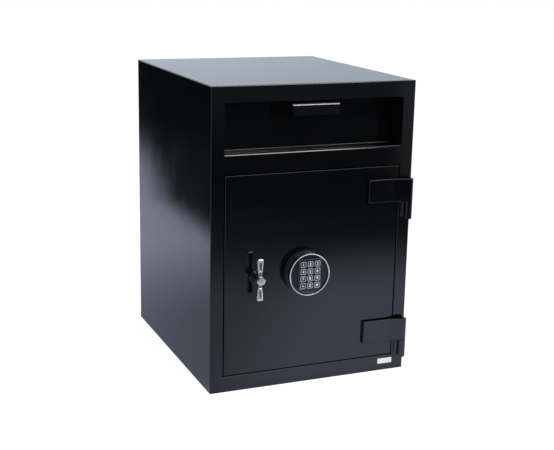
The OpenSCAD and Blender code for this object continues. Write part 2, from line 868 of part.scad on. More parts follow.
// Round cup with a stepped neck that the ring slips over
module keypad_housing() color(black_plastic)
    translate([keypad_x, front_y, lock_z]) rotate([90, 0, 0]) rotate_extrude($fn = 128)
        polygon([[cable_d / 2, base_t], [keypad_d / 2 + housing_over, base_t],
            [keypad_d / 2 + housing_over, ring_back - housing_over],
            [keypad_d / 2, ring_back], [face_d / 2 - slip, ring_back],
            [face_d / 2 - slip, face_back], [face_d / 2 - housing_wall, face_back],
            [face_d / 2 - housing_wall, base_t + housing_wall],
            [cable_d / 2, base_t + housing_wall]]);

// Bright ring with a rounded front
module keypad_ring() color(chrome_grey)
    translate([keypad_x, front_y, lock_z]) rotate([90, 0, 0]) rotate_extrude($fn = 128) {
        translate([face_d / 2, ring_back]) square([ring_w, ring_deep - ring_w / 2]);
        translate([face_d / 2 + ring_w / 2, keypad_out - ring_w / 2])
            intersection() {
                circle(ring_w / 2);
                translate([-ring_w / 2, 0]) square([ring_w, ring_w / 2]);
            }
    }

function key_x(i) = keypad_x + (i % 3 - 1) * key_pitch_x;
function key_z(i) = lock_z + (1.5 - floor(i / 3)) * key_pitch_z;

module key_holes(w) {
    for (i = [0 : 11])
        round_rect([key_x(i) - w / 2, key_z(i) - w / 2], [key_x(i) + w / 2, key_z(i) + w / 2],
            key_r + (w - key_w) / 2);
}

// Black face with a raised panel that frames the keys
module keypad_face() color(black_plastic)
    difference() {
        union() {
            on_keypad(face_back, face_t, face_d - 2 * slip);
            along_y(front_y - face_out - panel_t, panel_t)
                translate([keypad_x, lock_z])
                    intersection() {
                        circle(d = face_d - 2 * panel_in);
                        translate([-panel_w / 2, -face_d / 2])
                            square([panel_w, face_d / 2 + panel_up]);
                    }
        }
        along_y(front_y - keypad_out - cut, keypad_out - face_back + 2 * cut)
            key_holes(key_w + 2 * key_gap);
    }

// Board under the keys
module key_board() color([0.10, 0.28, 0.16])
    on_keypad(board_out, board_t, face_d - 2 * housing_wall - 2 * slip);

// A key: square cap with round corners, held by a flange behind the face
module key(i) color(black_key)
    translate([key_x(i), 0, key_z(i)]) {
        along_y(key_front, front_y - face_back + slip - key_front)
            round_rect([-key_w / 2, -key_w / 2], [key_w / 2, key_w / 2], key_r);
        along_y(front_y - face_back + slip, flange_t)
            square(key_w + 2 * flange_w, center = true);
    }

// Handle

// Four balls at the corners of a bar's section, at a height above the hub's axis
module arm_corners(w, t, z) {
    for (i = [-1, 1], j = [-1, 1])
        translate([i * (w / 2 - arm_r), j * (t / 2 - arm_r), z]) sphere(arm_r, $fn = 24);
}

// One arm, up from the hub: a neck, and a grip with a scoop along its front
module arm() {
    hull() {
        arm_corners(neck_w, neck_t, 0);
        arm_corners(neck_w, neck_t, neck_end);
    }
    difference() {
        hull() {
            arm_corners(arm_root_w, arm_t, neck_end + arm_r);
            arm_corners(arm_tip_w, arm_t, handle_l / 2 - arm_r);
        }
        translate([0, scoop_deep - scoop_r - arm_t / 2, 0]) {
            translate([0, 0, neck_end + scoop_end])
                cylinder(r = scoop_r, h = handle_l / 2 - neck_end - 2 * scoop_end);
            for (z = [neck_end + scoop_end, handle_l / 2 - scoop_end])
                translate([0, 0, z]) sphere(scoop_r);
        }
    }
}

module t_handle() color(chrome_grey) {
    translate([handle_x, front_y - hub_back, lock_z]) rotate([90, 0, 0])
        rotate_extrude($fn = 96)
            polygon([[0, 0], [hub_neck_r, 0], [hub_d / 2, hub_flare], [hub_d / 2, hub_len - 2],
                [hub_d / 2 - 0.8, hub_len - 0.8], [hub_d / 2 - 2.4, hub_len], [0, hub_len]]);
    translate([handle_x, front_y - arm_out, lock_z]) {
        arm();
        rotate([0, 180, 0]) arm();
    }
}

module handle_shaft() color(plain_steel)
    rod_y(handle_x, lock_z, front_y - hub_back, crank_y1, shaft_d);

// Crank at 45 degrees with its drive pin
module crank_arm() color(plain_steel) {
    difference() {
        along_y(crank_y0, crank_t)
            translate([handle_x, lock_z]) rotate(45) {
                circle(crank_hub_r);
                translate([crank_r, 0]) circle(crank_eye_r);
                polygon([[0, crank_hub_r], [crank_r, crank_eye_r],
                    [crank_r, -crank_eye_r], [0, -crank_hub_r]]);
            }
        rod_y(handle_x, lock_z, crank_y0 - cut, crank_y1 + cut, shaft_d + 0.04);
    }
    rod_y(handle_x + crank_drop, lock_z + crank_drop, crank_y1, tie_y1 + 0.5, drive_pin_d);
}

// Bolt carriage

module bolt_bar() color(plain_steel)
    between([bar_x0, bar_y0, lock_z - bolt_pitch - bar_over],
        [bar_x1, bar_y1, lock_z + bolt_pitch + bar_over]);

module locking_bolts() color(chrome_grey)
    for (i = [-1 : 1])
        translate([bolt_tip, bolt_y, lock_z + i * bolt_pitch]) rotate([0, 90, 0]) {
            cylinder(d1 = bolt_d - 2 * bolt_cham, d2 = bolt_d, h = bolt_cham);
            translate([0, 0, bolt_cham])
                cylinder(d = bolt_d, h = bar_x0 - bolt_tip - bolt_cham);
        }

// Bar that the crank drives, with its slots and the notch for the swing bolt
module tie_bar() color(plain_steel)
    along_y(tie_y0, tie_t)
        difference() {
            union() {
                translate([bar_x0, lock_z - tie_toe])
                    square([slot_x + slot_half + 2 * tie_toe - bar_x0,
                        tie_z1 - lock_z + tie_toe]);
                translate([bar_x0, tie_z0])
                    square([notch_x + tie_end - bar_x0, tie_z1 - tie_z0]);
            }
            round_rect([slot_x - slot_half, slot_z0], [slot_x + slot_half, slot_z1],
                slot_half - 0.01);
            round_rect([stud_x - stud_slot, stud_z - stud_slot],
                [stud_x + bolt_throw + stud_slot, stud_z + stud_slot], stud_slot - 0.01);
            polygon([[notch_x - notch_w - notch_flare, tie_z0 - cut],
                [notch_x - notch_w - notch_lean, tie_z0 + swing_bite / 2],
                [notch_x - notch_w, tie_z0 + swing_bite + 0.8],
                [notch_x + notch_w, tie_z0 + swing_bite + 0.8],
                [notch_x + notch_w, tie_z0 - cut]]);
        }

body_top();
body_bottom();
body_left();
body_right();
body_back();
front_frame();
recess_left();
recess_right();
recess_floor();
throat_baffle();
rest_buffers();
open_buffers();
upper_hinge_block();
lower_hinge_block();
hinge_pins();
door_stop_top();
door_stop_bottom();
hopper_panel();
pull_lip();
hopper_tray();
hopper_cheek_left();
hopper_cheek_right();
hopper_pins();
door_plate();
upper_strap();
lower_strap();
dead_bar();
bolt_guide();
guide_stud();
shaft_bushing();
handle_collar();
lock_case();
swing_bolt_pin();
cover_posts();
inner_cover();
cover_screws();
keypad_base();
keypad_housing();
keypad_ring();
keypad_face();
key_board();
t_handle();
handle_shaft();
crank_arm();
bolt_bar();
tie_bar();
locking_bolts();
swing_bolt();
key(0);  // key_1
key(1);  // key_2
key(2);  // key_3
key(3);  // key_4
key(4);  // key_5
key(5);  // key_6
key(6);  // key_7
key(7);  // key_8
key(8);  // key_9
key(9);  // key_star
key(10);  // key_0
key(11);  // key_hash
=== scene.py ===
"""Looks of a steel depository safe: gloss enamel, bright metals, keypad, label and studio.

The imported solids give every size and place. This script gives them their finishes, adds the
printed keys, the label and the fine trim, and sets the studio that the enamel mirrors.
"""

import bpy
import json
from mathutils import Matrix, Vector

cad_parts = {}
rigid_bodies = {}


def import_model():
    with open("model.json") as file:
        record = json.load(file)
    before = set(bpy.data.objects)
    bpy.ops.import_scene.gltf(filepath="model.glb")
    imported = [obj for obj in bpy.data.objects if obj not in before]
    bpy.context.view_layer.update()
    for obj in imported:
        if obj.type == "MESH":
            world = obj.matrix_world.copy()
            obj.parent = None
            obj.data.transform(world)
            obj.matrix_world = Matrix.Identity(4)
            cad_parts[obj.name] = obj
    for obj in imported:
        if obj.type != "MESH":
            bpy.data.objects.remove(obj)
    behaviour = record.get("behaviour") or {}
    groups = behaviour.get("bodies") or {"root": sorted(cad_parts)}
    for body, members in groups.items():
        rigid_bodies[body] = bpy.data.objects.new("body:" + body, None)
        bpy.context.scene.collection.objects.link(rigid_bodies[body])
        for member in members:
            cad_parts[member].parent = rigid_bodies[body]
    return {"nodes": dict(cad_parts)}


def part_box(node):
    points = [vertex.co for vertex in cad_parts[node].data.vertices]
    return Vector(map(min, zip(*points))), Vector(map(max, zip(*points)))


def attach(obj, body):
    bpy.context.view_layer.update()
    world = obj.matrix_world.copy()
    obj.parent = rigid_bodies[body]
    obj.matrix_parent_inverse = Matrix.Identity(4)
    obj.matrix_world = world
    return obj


bl_info = {
    "name": "Depository Safe Looks",
    "version": (1, 0, 0),
    "blender": (4, 5, 0),
    "location": "View3D > Sidebar > Safe",
    "description": "Finishes for a depository safe: gloss enamel, chrome, keypad, label and studio",
    "category": "Object",
}

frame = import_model()

import json
import math

import bpy
import numpy as np
from bpy.props import FloatProperty, FloatVectorProperty, PointerProperty
from bpy.types import Operator, Panel, PropertyGroup
from mathutils import Matrix, Vector

for leftover in [o for o in bpy.data.objects if o.name in ("Cube", "Light", "Camera")]:
    bpy.data.objects.remove(leftover)
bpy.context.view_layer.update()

MM = 0.001
FRAME_PIXELS = 554
# Thickness of print, of a key's rim and of the label
PRINT = 0.12 * MM
KEYS = {"key_1": "1", "key_2": "2", "key_3": "3", "key_4": "4", "key_5": "5", "key_6": "6",
        "key_7": "7", "key_8": "8", "key_9": "9", "key_star": "*", "key_0": "0",
        "key_hash": "#"}
ENAMELLED = ["body_top", "body_bottom", "body_left", "body_right", "body_back", "front_frame",
             "recess_left", "recess_right", "recess_floor", "throat_baffle",
             "upper_hinge_block", "lower_hinge_block", "door_stop_top", "door_stop_bottom",
             "hopper_tray", "hopper_cheek_left", "hopper_cheek_right", "door_plate",
             "upper_strap", "lower_strap", "inner_cover"]
STEEL = ["hinge_pins", "hopper_pins", "dead_bar", "bolt_guide", "guide_stud", "shaft_bushing",
         "swing_bolt_pin", "cover_posts", "cover_screws", "handle_shaft", "crank_arm",
         "bolt_bar", "tie_bar", "swing_bolt"]


# Colours and nodes

def linear(text):
    """Turns an sRGB hex text into linear red, green, blue and a full alpha."""
    levels = np.array([int(text[i:i + 2], 16) for i in (0, 2, 4)]) / 255
    low = levels / 12.92
    high = ((levels + 0.055) / 1.055) ** 2.4
    return (*np.where(levels <= 0.04045, low, high).tolist(), 1.0)


def add(tree, kind, settings=None, sockets=None):
    """Adds a node; settings are its attributes, sockets its values or what is linked in."""
    node = tree.nodes.new(kind)
    for name, value in (settings or {}).items():
        setattr(node, name, value)
    for name, value in (sockets or {}).items():
        if isinstance(value, bpy.types.NodeSocket):
            tree.links.new(value, node.inputs[name])
        else:
            node.inputs[name].default_value = value
    return node


def new_material(name):
    """An empty material, its tree and its output node."""
    material = bpy.data.materials.new(name)
    material.use_nodes = True
    material.node_tree.nodes.clear()
    output = add(material.node_tree, "ShaderNodeOutputMaterial")
    return material, material.node_tree, output


def ramp(tree, value, start, end, low, high):
    """A smooth step of a value from low at start to high at end."""
    return add(tree, "ShaderNodeMapRange", {"interpolation_type": "SMOOTHSTEP"},
               {"Value": value, "From Min": start, "From Max": end, "To Min": low,
                "To Max": high}).outputs["Result"]


def measure(tree, place, operation, other):
    """The distance of a place from another, or its product with a direction."""
    return add(tree, "ShaderNodeVectorMath", {"operation": operation},
               {0: place, 1: other}).outputs["Value"]


def math_of(tree, operation, first, second):
    """The result of one sum or product of two values."""
    node = add(tree, "ShaderNodeMath", {"operation": operation})
    for socket, value in zip(node.inputs, (first, second)):
        if isinstance(value, bpy.types.NodeSocket):
            tree.links.new(value, socket)
        else:
            socket.default_value = value
    return node.outputs["Value"]


def offset_from(tree, value, middle):
    """How far a coordinate is from a middle, on either side."""
    return math_of(tree, "ABSOLUTE", math_of(tree, "SUBTRACT", value, middle), 0.0)


def dress(names, material):
    """Gives CAD nodes one material in every slot."""
    for name in names:
        mesh_object = frame["nodes"][name]
        for slot in mesh_object.material_slots:
            slot.material = material


# Settings

class EnamelSettings(PropertyGroup):
    """Baked gloss enamel on the body, the door and the hopper"""
    colour: FloatVectorProperty(
        name="Colour", description="Colour of the enamel", subtype="COLOR", size=4,
        min=0, max=1, default=linear("08090b"))
    ripple: FloatProperty(
        name="Ripple", description="Width of one ripple of the sprayed coat",
        unit="LENGTH", default=3 * MM, min=0.5 * MM, max=20 * MM)
    depth: FloatProperty(
        name="Ripple depth", description="Height of the ripples", unit="LENGTH",
        default=0.012 * MM, min=0, max=0.2 * MM)
    wave: FloatProperty(
        name="Wave", description="Width of the slow waves in the rolled plates",
        unit="LENGTH", default=90 * MM, min=10 * MM, max=400 * MM)


class KeypadSettings(PropertyGroup):
    """Print on the keys"""
    ink: FloatVectorProperty(
        name="Ink", description="Colour of the digits", subtype="COLOR", size=4,
        min=0, max=1, default=linear("f6f8fc"))
    rim: FloatVectorProperty(
        name="Rim", description="Colour of the line round each key", subtype="COLOR",
        size=4, min=0, max=1, default=linear("bcc3cf"))
    digit: FloatProperty(
        name="Digit height", description="Height of a digit", unit="LENGTH",
        default=5.6 * MM, min=2 * MM, max=9 * MM)
    rim_width: FloatProperty(
        name="Rim width", description="Width of the line round a key", unit="LENGTH",
        default=1.0 * MM, min=0.2 * MM, max=2 * MM)


class LabelSettings(PropertyGroup):
    """Bare white label at the lower right of the frame"""
    width: FloatProperty(
        name="Width", description="Width of the label", unit="LENGTH",
        default=33 * MM, min=10 * MM, max=80 * MM)
    height: FloatProperty(
        name="Height", description="Height of the label", unit="LENGTH",
        default=11.5 * MM, min=5 * MM, max=30 * MM)
    centre_x: FloatProperty(
        name="Centre X", description="Label's centre, to the right of the body's centre",
        unit="LENGTH", default=173.5 * MM, min=-200 * MM, max=200 * MM)
    centre_z: FloatProperty(
        name="Centre Z", description="Label's centre above the floor", unit="LENGTH",
        default=20 * MM, min=5 * MM, max=200 * MM)


class StudioSettings(PropertyGroup):
    """Camera, lamps and the floor that the enamel mirrors"""
    azimuth: FloatProperty(
        name="Azimuth", description="Where the camera stands round the safe",
        unit="ROTATION", default=math.radians(-22.967))
    elevation: FloatProperty(
        name="Elevation", description="Camera's height angle", unit="ROTATION",
        default=math.radians(14.275))
    roll: FloatProperty(
        name="Roll", description="Tilt of the camera about its own axis", unit="ROTATION",
        default=math.radians(1.176))
    focal_pixels: FloatProperty(
        name="Focal length", description="Focal length in pixels of a frame 554 wide",
        default=1086.1, min=100, max=5000)
    station: FloatVectorProperty(
        name="Camera place", description="Where the lens is", subtype="TRANSLATION",
        unit="LENGTH", default=(-881.2 * MM, -2142.8 * MM, 858.3 * MM))
    floor_size: FloatProperty(
        name="Floor", description="Side of the square floor", unit="LENGTH",
        default=24.0, min=4, max=60)


# Materials

def gloss_enamel(settings):
    """Black baked gloss enamel on rolled steel plate, sprayed and stoved.

    To the eye: nearly black, mirror-like at a glance, with slow waves from the plate, a fine
    orange peel from the spray and faint wiping marks in the gloss.
    """
    material, tree, output = new_material("black gloss enamel")
    place = add(tree, "ShaderNodeTexCoord").outputs["Object"]
    ripple = add(tree, "ShaderNodeTexNoise", None,
                 {"Vector": place, "Scale": 1 / settings.ripple, "Detail": 2.0,
                  "Roughness": 0.55})
    wave = add(tree, "ShaderNodeTexNoise", None,
               {"Vector": place, "Scale": 1 / settings.wave, "Detail": 1.0})
    wiped = add(tree, "ShaderNodeTexNoise", None,
                {"Vector": place, "Scale": 14.0, "Detail": 6.0, "Roughness": 0.7})
    gloss = add(tree, "ShaderNodeMapRange", None,
                {"Value": wiped.outputs["Fac"], "From Min": 0.3, "From Max": 0.75,
                 "To Min": 0.07, "To Max": 0.12})
    slow = add(tree, "ShaderNodeBump", None,
               {"Strength": 1.0, "Distance": 0.10 * MM, "Height": wave.outputs["Fac"]})
    fine = add(tree, "ShaderNodeBump", None,
               {"Strength": 1.0, "Distance": settings.depth, "Height": ripple.outputs["Fac"],
                "Normal": slow.outputs["Normal"]})
    shader = add(tree, "ShaderNodeBsdfPrincipled", None,
                 {"Base Color": tuple(settings.colour), "IOR": 1.55,
                  "Roughness": gloss.outputs["Result"], "Normal": fine.outputs["Normal"]})
    tree.links.new(shader.outputs["BSDF"], output.inputs["Surface"])
    return material


def bright_metal(name, colour, low, high, grain, stretch, depth):
    """Bare or plated metal with a fine grain.

    The grain is a noise squeezed along the way it was worked; it moves the roughness between
    low and high and lifts the surface by depth.
    """
    material, tree, output = new_material(name)
    place = add(tree, "ShaderNodeTexCoord").outputs["Object"]
    along = add(tree, "ShaderNodeMapping", None, {"Vector": place, "Scale": stretch})
    noise = add(tree, "ShaderNodeTexNoise", None,
                {"Vector": along.outputs["Vector"], "Scale": 1 / grain, "Detail": 4.0,
                 "Roughness": 0.6})
    rough = add(tree, "ShaderNodeMapRange", None,
                {"Value": noise.outputs["Fac"], "From Min": 0.3, "From Max": 0.7,
                 "To Min": low, "To Max": high})
    bump = add(tree, "ShaderNodeBump", None,
               {"Strength": 1.0, "Distance": depth, "Height": noise.outputs["Fac"]})
    shader = add(tree, "ShaderNodeBsdfPrincipled", None,
                 {"Base Color": linear(colour), "Metallic": 1.0,
                  "Roughness": rough.outputs["Result"], "Normal": bump.outputs["Normal"]})
    tree.links.new(shader.outputs["BSDF"], output.inputs["Surface"])
    return material


def cast_chrome(node):
    """Satin chrome on a zinc die-casting, the T-handle's finish.

    To the eye: bright and neutral on the tumbled rims. In the scoops and on the necks the colour is
    darkened, a painted shade for the shadow and dark reflection there, and the roughness is raised.
    The scoops are a stripe along each arm's front, the necks a band between hub and grip. Each
    length below is where a painted shade starts to fade and where it ends, from the handle's
    middle.
    """
    low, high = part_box(node)
    middle_x, middle_z = (low.x + high.x) / 2, (low.z + high.z) / 2
    arm_front = low.y + 5.5 * MM
    scoop_side = (1.6 * MM, 2.7 * MM)
    scoop_root = (18 * MM, 22 * MM)
    scoop_tip = (34.5 * MM, 37 * MM)
    scoop_floor = (arm_front + 1.2 * MM, arm_front + 2.2 * MM)
    neck_root = (8.8 * MM, 9.6 * MM)
    neck_end = (14.2 * MM, 15.6 * MM)
    material, tree, output = new_material("satin chrome")
    place = add(tree, "ShaderNodeTexCoord").outputs["Object"]
    split = add(tree, "ShaderNodeSeparateXYZ", None, {"Vector": place})
    aside = offset_from(tree, split.outputs["X"], middle_x)
    along = offset_from(tree, split.outputs["Z"], middle_z)
    scoop = math_of(tree, "MULTIPLY", ramp(tree, aside, *scoop_side, 1.0, 0.0),
                    ramp(tree, along, *scoop_root, 0.0, 1.0))
    scoop = math_of(tree, "MULTIPLY", scoop, ramp(tree, along, *scoop_tip, 1.0, 0.0))
    scoop = math_of(tree, "MULTIPLY", scoop,
                    ramp(tree, split.outputs["Y"], *scoop_floor, 1.0, 0.0))
    neck = math_of(tree, "MULTIPLY", ramp(tree, along, *neck_root, 0.0, 0.85),
                   ramp(tree, along, *neck_end, 1.0, 0.0))
    # Painted shade: scoops and necks take a darker colour for their shadow and dark reflection, and
    # a higher roughness
    painted_shade = math_of(tree, "MAXIMUM", scoop, neck)
    grain = add(tree, "ShaderNodeTexNoise", None,
                {"Vector": place, "Scale": 1 / (0.6 * MM), "Detail": 4.0, "Roughness": 0.6})
    rough = math_of(tree, "ADD", ramp(tree, painted_shade, 0.0, 1.0, 0.15, 0.32),
                    math_of(tree, "MULTIPLY", grain.outputs["Fac"], 0.1))
    tint = add(tree, "ShaderNodeMix", {"data_type": "RGBA"},
               {"Factor": painted_shade, "A": linear("f2eee4"), "B": linear("77776f")})
    bump = add(tree, "ShaderNodeBump", None,
               {"Strength": 1.0, "Distance": 0.003 * MM, "Height": grain.outputs["Fac"]})
    shader = add(tree, "ShaderNodeBsdfPrincipled", None,
                 {"Base Color": tint.outputs["Result"], "Metallic": 1.0, "Roughness": rough,
                  "Normal": bump.outputs["Normal"]})
    tree.links.new(shader.outputs["BSDF"], output.inputs["Surface"])
    return material


def enamel_with_painted_highlight(settings, name, rise, fall, reach, most):
    """Gloss enamel with a band of bare bright metal along a level line: a painted highlight.

    To the eye: enamel as on the rest, with a pale satin line of bare metal, ragged on its lower
    side, set where a lamp's highlight falls. The line comes in over the heights of rise and goes
    out over those of fall; it stops over the depths of reach, so it stays on the front. Most is how
    bare it gets.
    """
    material, tree, output = new_material(name)
    place = add(tree, "ShaderNodeTexCoord").outputs["Object"]
    split = add(tree, "ShaderNodeSeparateXYZ", None, {"Vector": place})
    ragged = add(tree, "ShaderNodeTexNoise", None,
                 {"Vector": place, "Scale": 1 / (2.5 * MM), "Detail": 3.0})
    height = math_of(tree, "ADD", split.outputs["Z"],
                     math_of(tree, "MULTIPLY", ragged.outputs["Fac"], 0.8 * MM))
    highlight_band = math_of(tree, "MULTIPLY", ramp(tree, height, *rise, 0.0, most),
                   ramp(tree, height, *fall, 1.0, 0.0))
    highlight_band = math_of(tree, "MULTIPLY", highlight_band, ramp(tree, split.outputs["Y"], *reach, 1.0, 0.0))
    tint = add(tree, "ShaderNodeMix", {"data_type": "RGBA"},
               {"Factor": highlight_band, "A": tuple(settings.colour), "B": linear("8d8e8c")})
    shader = add(tree, "ShaderNodeBsdfPrincipled", None,
                 {"Base Color": tint.outputs["Result"], "Metallic": highlight_band, "IOR": 1.55,
                  "Roughness": ramp(tree, highlight_band, 0.0, 1.0, 0.12, 0.32)})
    tree.links.new(shader.outputs["BSDF"], output.inputs["Surface"])
    return material


def banded_chrome(node):
    """Bright chrome plate on the ring's bead, with its shoulders painted black: a painted shade for
    their dark reflection.

    To the eye: a thin bright circle between two dark edges. The plate ends where the distance
    from the bead's middle circle reaches the two lengths of band_edge.
    """
    low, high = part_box(node)
    axis = ((low.x + high.x) / 2, (low.z + high.z) / 2)
    bead = (high.x - low.x) / 2 - 3.0 * MM
    band_edge = (1.0 * MM, 1.5 * MM)
    material, tree, output = new_material("chrome plate, shoulders painted dark for their reflection")
    place = add(tree, "ShaderNodeTexCoord").outputs["Object"]
    flat = add(tree, "ShaderNodeMapping", None,
               {"Vector": place, "Location": (-axis[0], 0, -axis[1]), "Scale": (1, 0, 1)})
    radius = add(tree, "ShaderNodeVectorMath", {"operation": "LENGTH"},
                 {0: flat.outputs["Vector"]}).outputs["Value"]
    # Painted shade: black on the shoulders stands in for the chrome's dark reflection there
    black = ramp(tree, offset_from(tree, radius, bead), *band_edge, 0.0, 1.0)
    plate = ramp(tree, black, 0.0, 1.0, 1.0, 0.0)
    tint = add(tree, "ShaderNodeMix", {"data_type": "RGBA"},
               {"Factor": black, "A": linear("fffaf0"), "B": linear("0c0d10")})
    shader = add(tree, "ShaderNodeBsdfPrincipled", None,
                 {"Base Color": tint.outputs["Result"], "Metallic": plate,
                  "Roughness": ramp(tree, black, 0.0, 1.0, 0.07, 0.25)})
    tree.links.new(shader.outputs["BSDF"], output.inputs["Surface"])
    return material


def moulded(name, colour, roughness, grain, depth, ior=1.53):
    """Moulded plastic or rubber with the fine spark grain of its mould."""
    material, tree, output = new_material(name)
    place = add(tree, "ShaderNodeTexCoord").outputs["Object"]
    noise = add(tree, "ShaderNodeTexNoise", None,
                {"Vector": place, "Scale": 1 / grain, "Detail": 3.0})
    patchy = add(tree, "ShaderNodeTexNoise", None,
                 {"Vector": place, "Scale": 40.0, "Detail": 2.0})
    rough = add(tree, "ShaderNodeMapRange", None,
                {"Value": patchy.outputs["Fac"], "From Min": 0.3, "From Max": 0.7,
                 "To Min": roughness * 0.85, "To Max": roughness * 1.15})
    bump = add(tree, "ShaderNodeBump", None,
               {"Strength": 1.0, "Distance": depth, "Height": noise.outputs["Fac"]})
    shader = add(tree, "ShaderNodeBsdfPrincipled", None,
                 {"Base Color": linear(colour), "IOR": ior,
                  "Roughness": rough.outputs["Result"], "Normal": bump.outputs["Normal"]})
    tree.links.new(shader.outputs["BSDF"], output.inputs["Surface"])
    return material


def printed(name, colour, roughness=0.45):
    """Pad-printed ink or white vinyl: a flat colour that is slightly uneven in cover."""
    material, tree, output = new_material(name)
    place = add(tree, "ShaderNodeTexCoord").outputs["Object"]
    cover = add(tree, "ShaderNodeTexNoise", None,
                {"Vector": place, "Scale": 900.0, "Detail": 2.0})
    dim = tuple(0.9 * c for c in colour[:3]) + (1.0,)
    tint = add(tree, "ShaderNodeMix", {"data_type": "RGBA"},
               {"Factor": cover.outputs["Fac"], "A": tuple(colour), "B": dim})
    shader = add(tree, "ShaderNodeBsdfPrincipled", None,
                 {"Base Color": tint.outputs["Result"], "Roughness": roughness})
    tree.links.new(shader.outputs["BSDF"], output.inputs["Surface"])
    return material


# Meshes

def grid_object(name, points, close_u, close_v, material):
    """Makes a mesh from a grid of points, points[i, j] = position, in metres.

    Neighbouring grid points are joined in quads; a closed direction joins its last row to
    its first.
    """
    rows, columns = points.shape[:2]
    index = np.arange(rows * columns).reshape(rows, columns)
    if close_u:
        index = np.vstack([index, index[:1]])
    if close_v:
        index = np.hstack([index, index[:, :1]])
    quads = np.stack([index[:-1, :-1], index[1:, :-1], index[1:, 1:], index[:-1, 1:]], -1)
    mesh = bpy.data.meshes.new(name)
    mesh.from_pydata(points.reshape(-1, 3).tolist(), [], quads.reshape(-1, 4).tolist())
    mesh.validate()
    mesh.materials.append(material)
    made = bpy.data.objects.new(name, mesh)
    bpy.context.scene.collection.objects.link(made)
    return made


def round_square(half_w, half_h, radius, steps):
    """Outline of a rectangle with round corners, as points (x, z) going round anticlockwise.

    Each corner is a quarter circle about a centre one radius in from both sides.
    """
    turn = np.linspace(0, math.pi / 2, steps)
    corners = []
    for quarter, (sx, sz) in enumerate([(1, 1), (-1, 1), (-1, -1), (1, -1)]):
        angle = turn + quarter * math.pi / 2
        centre = np.array([sx * (half_w - radius), sz * (half_h - radius)])
        corners.append(centre + radius * np.stack([np.cos(angle), np.sin(angle)], -1))
    return np.concatenate(corners)


def key_rim(name, centre, front, half, radius, width, relief, material):
    """A flat ring round a key's edge: a rectangle of width by relief carried round the
    key's outline."""
    outer = round_square(half, half, radius, 8)
    inner = round_square(half - width, half - width, max(radius - width, 0.2 * MM), 8)
    section = [(outer, 0.0), (outer, -relief), (inner, -relief), (inner, 0.0)]
    loops = [np.stack([centre[0] + line[:, 0], np.full(len(line), front + lift),
                       centre[1] + line[:, 1]], -1) for line, lift in section]
    return grid_object(name, np.stack(loops), True, True, material)


def panel_line(name, centre, front, half_w, top, radius, width, relief, material):
    """A thin raised line round the keys' panel.

    The panel is the part of a disc of this radius that lies within half_w of its middle and
    below top. Its outline is an arc at the foot, then up one side, across and down the other;
    the line lies between that outline and the same outline drawn in by its width.
    """
    def outline(inset):
        w, t, r = half_w - inset, top - inset, radius - inset
        foot = math.asin(w / r)
        turn = np.linspace(-foot, foot, 25)
        arc = np.stack([r * np.sin(turn), -r * np.cos(turn)], -1)
        corner = np.array([[w, t], [-w, t]])
        return np.concatenate([arc, corner])

    outer, inner = outline(0.0), outline(width)
    section = [(outer, 0.0), (outer, -relief), (inner, -relief), (inner, 0.0)]
    loops = [np.stack([centre[0] + line[:, 0], np.full(len(line), front + lift),
                       centre[1] + line[:, 1]], -1) for line, lift in section]
    return grid_object(name, np.stack(loops), True, True, material)


def glyph(name, text, centre, front, height, relief, material):
    """A digit as a solid of one relief: the font's outline, filled and raised off the key."""
    curve = bpy.data.curves.new(name, "FONT")
    curve.body = text
    curve.align_x = "CENTER"
    curve.align_y = "CENTER"
    curve.resolution_u = 4
    # Thickens the strokes, as ink does
    curve.offset = 0.02
    maker = bpy.data.objects.new(name, curve)
    bpy.context.scene.collection.objects.link(maker)
    bpy.context.view_layer.update()
    mesh = bpy.data.meshes.new_from_object(
        maker.evaluated_get(bpy.context.evaluated_depsgraph_get()))
    bpy.data.objects.remove(maker)
    bpy.data.curves.remove(curve)
    flat = np.zeros(len(mesh.vertices) * 3)
    mesh.vertices.foreach_get("co", flat)
    flat = flat.reshape(-1, 3)
    middle = (flat.min(0) + flat.max(0)) / 2
    # Height of the font's digits at a size of one
    cap = 0.69
    placed = np.stack([(flat[:, 0] - middle[0]) * height / cap + centre[0],
                       np.full(len(flat), front - relief),
                       (flat[:, 1] - middle[1]) * height / cap + centre[1]], -1)
    mesh.vertices.foreach_set("co", placed.ravel())
    mesh.name = name
    mesh.materials.clear()
    mesh.materials.append(material)
    made = bpy.data.objects.new(name, mesh)
    bpy.context.scene.collection.objects.link(made)
    wall = made.modifiers.new("Ink", "SOLIDIFY")
    wall.thickness = relief
    wall.offset = -1
    return made


# Studio

# Each lamp's name, place, target, width and height, and radiance. The front one stands at an
# angle that neither the leaning panel nor the chamfer under the door mirrors.
LAMPS = (
    ("Overhead softbox", (0.4, -0.6, 2.3), (0.4, -0.6, 0), (2.4, 2.2), 1.2),
    ("Left strip", (-1.15, 0.08, 0.30), (-0.2, -0.12, 0.30), (0.34, 0.54), 1.7),
    ("Front softbox", (0.75, -1.62, 1.84), (0.05, -0.25, 0.48), (0.62, 0.54), 14.0),
    ("Right card", (1.12, -1.62, 0.24), (0.2, -0.25, 0.40), (0.3, 0.46), 0.18))


def place_camera(scene, settings):
    """Stands the camera at its station, turned by azimuth and elevation and then rolled."""
    a, e, r = settings.azimuth, settings.elevation, settings.roll
    back = Vector((math.sin(a) * math.cos(e), -math.cos(a) * math.cos(e), math.sin(e)))
    right = Vector((math.cos(a), math.sin(a), 0))
    up = back.cross(right)
    rolled_right = math.cos(r) * right + math.sin(r) * up
    rolled_up = math.cos(r) * up - math.sin(r) * right
    data = bpy.data.cameras.new("Camera")
    data.sensor_fit = "HORIZONTAL"
    data.lens = settings.focal_pixels * data.sensor_width / FRAME_PIXELS
    data.clip_end = 100
    camera = bpy.data.objects.new("Camera", data)
    scene.collection.objects.link(camera)
    turned = Matrix((rolled_right, rolled_up, back)).transposed().to_4x4()
    camera.matrix_world = Matrix.Translation(settings.station) @ turned
    scene.camera = camera


